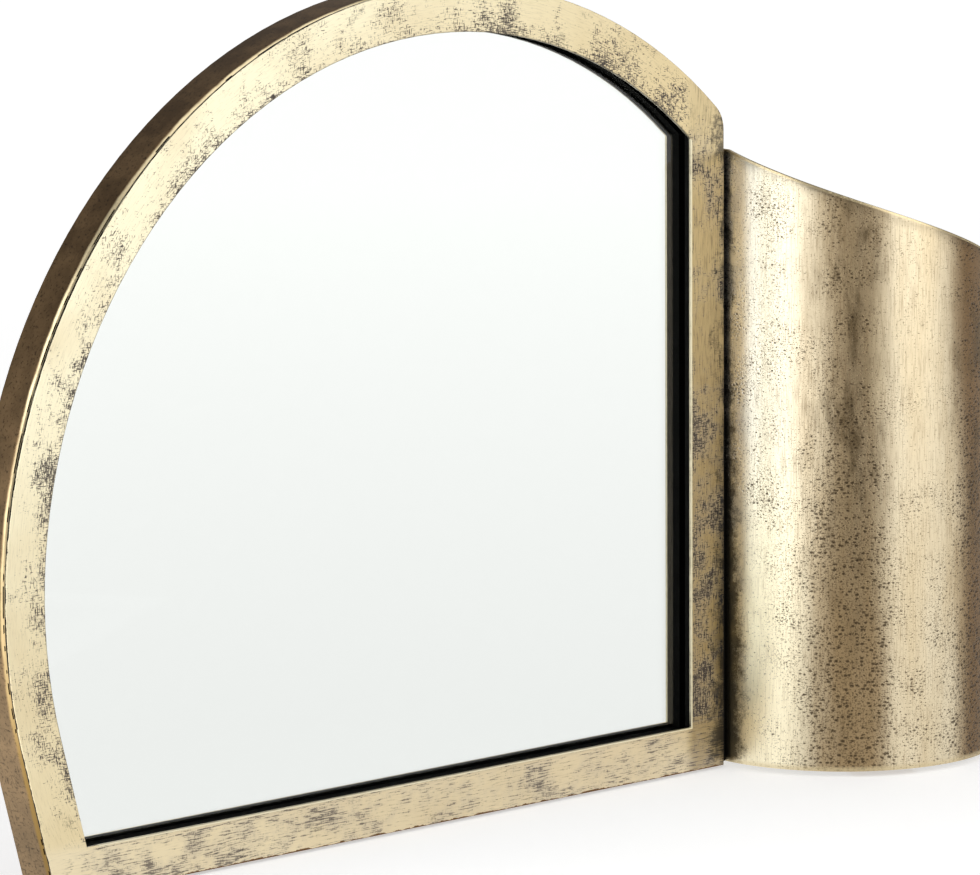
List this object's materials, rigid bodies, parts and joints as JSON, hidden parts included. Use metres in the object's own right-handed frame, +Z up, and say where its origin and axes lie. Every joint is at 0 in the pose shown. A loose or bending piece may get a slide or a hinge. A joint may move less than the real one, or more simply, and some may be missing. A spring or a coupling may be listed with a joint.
{
  "type": "table mirror",
  "caption": "Free-standing table mirror: arched antique-brass frame with recessed glass, and a half-round rolled leaf with a sloping rim along its right side.",
  "frame": {"origin": "on the table, under the middle of the overall box", "axes": "+Z up; the mirror faces -Y; the half-round leaf is on the +X side"},
  "size_m": [0.4553, 0.0772, 0.2998],
  "materials": {
    "ring_brass": "pale antique brass, rubbed bright, with dark patina specks",
    "band_brass": "antique brass strip, dark patina with a rubbed bright lip",
    "leaf_brass": "antique brass sheet, pitted and brushed upright, dark in the crevice",
    "weld_brass": "ground weld, dark patina",
    "foot_brass": "plain sheet, dark patina",
    "mirror": "back-silvered float glass",
    "black_foam": "matt black foam tape",
    "black_rubber": "matt black rubber strip",
    "block_rubber": "matt black rubber",
    "hardboard": "brown hardboard, smooth side out",
    "tab_steel": "plain steel bracket",
    "button_steel": "zinc plated steel",
    "screw_steel": "zinc plated steel",
    "felt": "black felt"
  },
  "bodies": {
    "mirror": {"face_ring": "ring_brass", "arc_band": "band_brass", "base_bar": "band_brass", "curved_leaf": "leaf_brass", "ring_tacks": "weld_brass", "corner_welds": "weld_brass", "mirror_glass": "mirror", "glazing_tape": "black_foam", "seam_strip": "black_rubber", "edge_blocks": "block_rubber", "backing_board": "hardboard", "button_tabs": "tab_steel", "pivot_screws": "screw_steel", "leaf_screws": "screw_steel", "leaf_washers": "screw_steel", "leaf_nuts": "screw_steel", "leaf_foot_plates": "foot_brass", "felt_pads": "felt"},
    "button_1": {"turn_button_1": "button_steel"},
    "button_2": {"turn_button_2": "button_steel"},
    "button_3": {"turn_button_3": "button_steel"},
    "button_4": {"turn_button_4": "button_steel"},
    "button_5": {"turn_button_5": "button_steel"},
    "button_6": {"turn_button_6": "button_steel"}
  },
  "joints": [
    {"name": "button_1_turn", "type": "hinge", "parent": "mirror", "child": "button_1", "pos_m": [0.03404, 0.0327, 0.28203], "axis": [0, 1, 0], "range_deg": [-90, 90]},
    {"name": "button_2_turn", "type": "hinge", "parent": "mirror", "child": "button_2", "pos_m": [-0.14821, 0.0327, 0.25316], "axis": [0, 1, 0], "range_deg": [-90, 90]},
    {"name": "button_3_turn", "type": "hinge", "parent": "mirror", "child": "button_3", "pos_m": [-0.22031, 0.0327, 0.08331], "axis": [0, 1, 0], "range_deg": [-90, 90]},
    {"name": "button_4_turn", "type": "hinge", "parent": "mirror", "child": "button_4", "pos_m": [0.10155, 0.0327, 0.1576], "axis": [0, 1, 0], "range_deg": [-90, 90]},
    {"name": "button_5_turn", "type": "hinge", "parent": "mirror", "child": "button_5", "pos_m": [-0.14505, 0.0327, 0.0073], "axis": [0, 1, 0], "range_deg": [-90, 90]},
    {"name": "button_6_turn", "type": "hinge", "parent": "mirror", "child": "button_6", "pos_m": [0.05495, 0.0327, 0.0073], "axis": [0, 1, 0], "range_deg": [-90, 90]}
  ]
}
